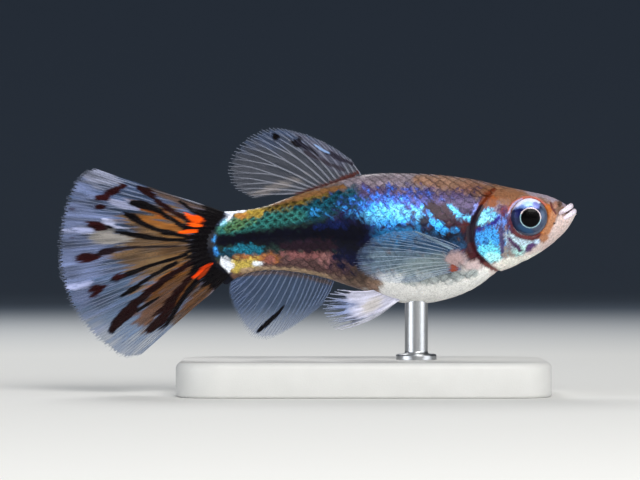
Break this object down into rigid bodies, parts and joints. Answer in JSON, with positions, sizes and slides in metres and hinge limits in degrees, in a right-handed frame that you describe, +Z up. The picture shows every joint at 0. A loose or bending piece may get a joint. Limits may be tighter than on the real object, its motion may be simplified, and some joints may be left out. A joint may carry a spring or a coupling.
{
  "type": "fancy guppy model on a stand",
  "caption": "Still life-size model of a fancy guppy with fanned fins, held above a flat base by one short rod.",
  "frame": {"origin": "on the floor, under the middle of the whole model", "axes": "+X towards the snout, +Y to the fish's left side, +Z up"},
  "size_m": [0.045, 0.018, 0.023],
  "materials": {
    "skin": "wet scaly skin, brown back, blue and green sheen on the flank, white belly",
    "gill_cover": "blue-silver sheen",
    "eye": "silver-blue iris, black pupil, clear cornea",
    "tail_fin": "thin clear web, amber towards the root, dark streaks and spots",
    "clear_fin": "thin clear web with pale rays",
    "pale_fin": "thin milky web with white rays",
    "stand_base": "satin, pale grey",
    "stand_metal": "brushed"
  },
  "bodies": {
    "root": {"head": "skin", "lower_jaw": "skin", "gill_cover_right": "gill_cover", "gill_cover_left": "gill_cover", "eye_right": "eye", "eye_left": "eye", "trunk": "skin", "tail_stem": "skin", "caudal_fin": "tail_fin", "dorsal_fin": "clear_fin", "anal_fin": "clear_fin", "pectoral_fin_right": "clear_fin", "pectoral_fin_left": "clear_fin", "pelvic_fin_right": "pale_fin", "pelvic_fin_left": "pale_fin", "stand_base": "stand_base", "stand_rod": "stand_metal"}
  },
  "joints": []
}
